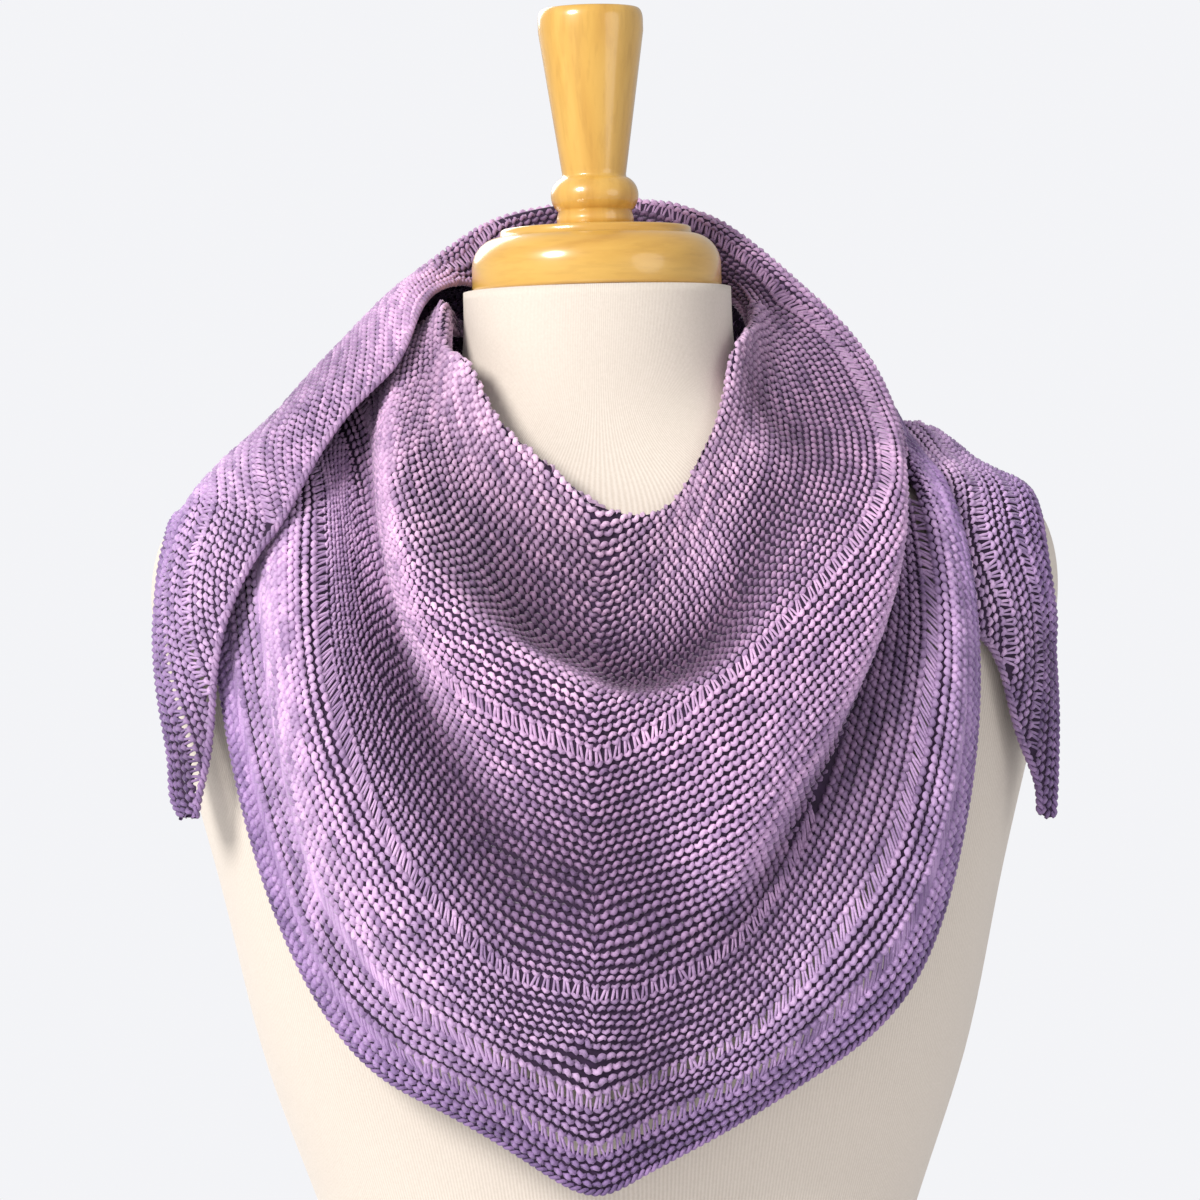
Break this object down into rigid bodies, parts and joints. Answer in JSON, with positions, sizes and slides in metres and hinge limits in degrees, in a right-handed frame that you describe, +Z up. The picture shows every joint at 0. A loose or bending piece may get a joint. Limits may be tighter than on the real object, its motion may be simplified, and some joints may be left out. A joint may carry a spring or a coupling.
{
  "type": "knit scarf on dress form",
  "caption": "Triangular openwork knit scarf draped as a bib over the chest of a limbless dress form with a turned wooden neck.",
  "frame": {"origin": "on the neck's axis, in the flat underside that the dress form stands on", "axes": "+Z up, -Y the front of the chest where the bib hangs, +X the viewer's right"},
  "size_m": [0.392, 0.26, 0.783],
  "materials": {
    "scarf_knit": "hand-dyed plied yarn, lilac at the neck to violet at the hem, slight sheen",
    "form_jersey": "cream cotton jersey with fine vertical wales",
    "neck_wood": "pale golden maple under gloss varnish"
  },
  "bodies": {
    "root": {"scarf_front": "scarf_knit", "scarf_nape_inner": "scarf_knit", "scarf_nape_outer": "scarf_knit", "scarf_tail_left": "scarf_knit", "scarf_tail_right": "scarf_knit", "form_body": "form_jersey", "neck_cap": "neck_wood", "neck_handle": "neck_wood"}
  },
  "joints": []
}
